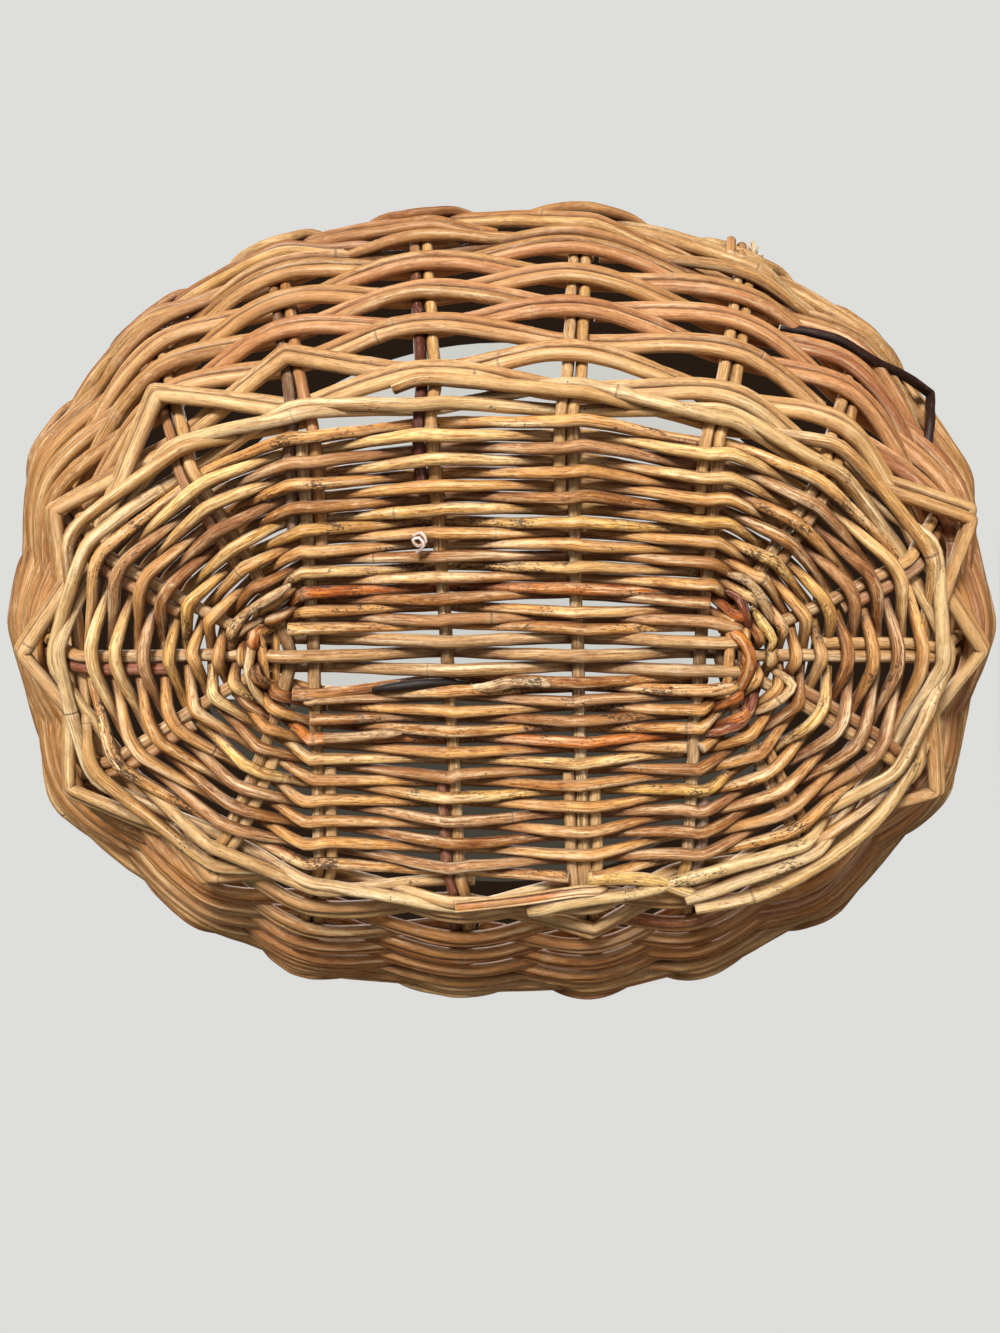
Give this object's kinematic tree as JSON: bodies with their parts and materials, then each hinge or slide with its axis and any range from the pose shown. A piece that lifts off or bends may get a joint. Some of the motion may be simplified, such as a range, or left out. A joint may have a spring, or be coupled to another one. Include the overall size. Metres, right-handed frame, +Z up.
{
  "type": "oval woven harvest basket",
  "caption": "Shallow oval harvest basket of whole rattan rods on a stick and strand base, with flared sides of doubled rods and stakes turned down for a border",
  "frame": {"origin": "on the floor under the middle of the base", "axes": "+Z up out of the mouth, +X along the basket's length, +Y across it"},
  "size_m": [0.5158, 0.4125, 0.116],
  "materials": {
    "stick": "weathered whole rattan, dry and matt, with fine dark pores and a grey-brown cast",
    "base_weaver": "weathered whole rattan, straw to rust brown, with dark mould specks and fine lengthwise streaks",
    "wale": "whole rattan with its pale straw skin, lightly specked, satin",
    "side_rod": "whole rattan, warm orange tan, satin, with fine lengthwise streaks and faint growth rings",
    "stake": "whole rattan, warm tan to reddish brown, satin, cut square or on a slant at the ends"
  },
  "bodies": {
    "root": {"cross_stick_1": "stick", "cross_stick_2": "stick", "cross_stick_3": "stick", "cross_stick_4": "stick", "cross_stick_5": "stick", "cross_stick_6": "stick", "long_stick_1": "stick", "long_stick_2": "stick", "long_stick_3": "stick", "base_weaver_01": "base_weaver", "base_weaver_02": "base_weaver", "base_weaver_03": "base_weaver", "base_weaver_04": "base_weaver", "base_weaver_05": "base_weaver", "base_weaver_06": "base_weaver", "base_weaver_07": "base_weaver", "base_weaver_08": "base_weaver", "base_weaver_09": "base_weaver", "base_weaver_10": "base_weaver", "base_weaver_11": "base_weaver", "foot_wale_rod_1": "wale", "foot_wale_rod_2": "wale", "foot_wale_rod_3": "wale", "side_rod_1_lower": "side_rod", "side_rod_1_upper": "side_rod", "side_rod_2_lower": "side_rod", "side_rod_2_upper": "side_rod", "side_rod_3_lower": "side_rod", "side_rod_3_upper": "side_rod", "side_rod_4_lower": "side_rod", "side_rod_4_upper": "side_rod", "side_rod_5_lower": "side_rod", "side_rod_5_upper": "side_rod", "side_rod_6_lower": "side_rod", "side_rod_6_upper": "side_rod", "side_rod_7_lower": "side_rod", "side_rod_7_upper": "side_rod", "side_rod_8_lower": "side_rod", "side_rod_8_upper": "side_rod", "stake_pair_01": "stake", "stake_pair_02": "stake", "stake_pair_03": "stake", "stake_pair_04": "stake", "stake_pair_05": "stake", "stake_pair_06": "stake", "stake_pair_07": "stake", "stake_pair_08": "stake", "stake_pair_09": "stake", "stake_pair_10": "stake", "stake_pair_11": "stake", "stake_pair_12": "stake", "stake_pair_13": "stake", "stake_pair_14": "stake", "stake_pair_15": "stake", "stake_pair_16": "stake", "stake_pair_17": "stake", "stake_pair_18": "stake"}
  },
  "joints": []
}
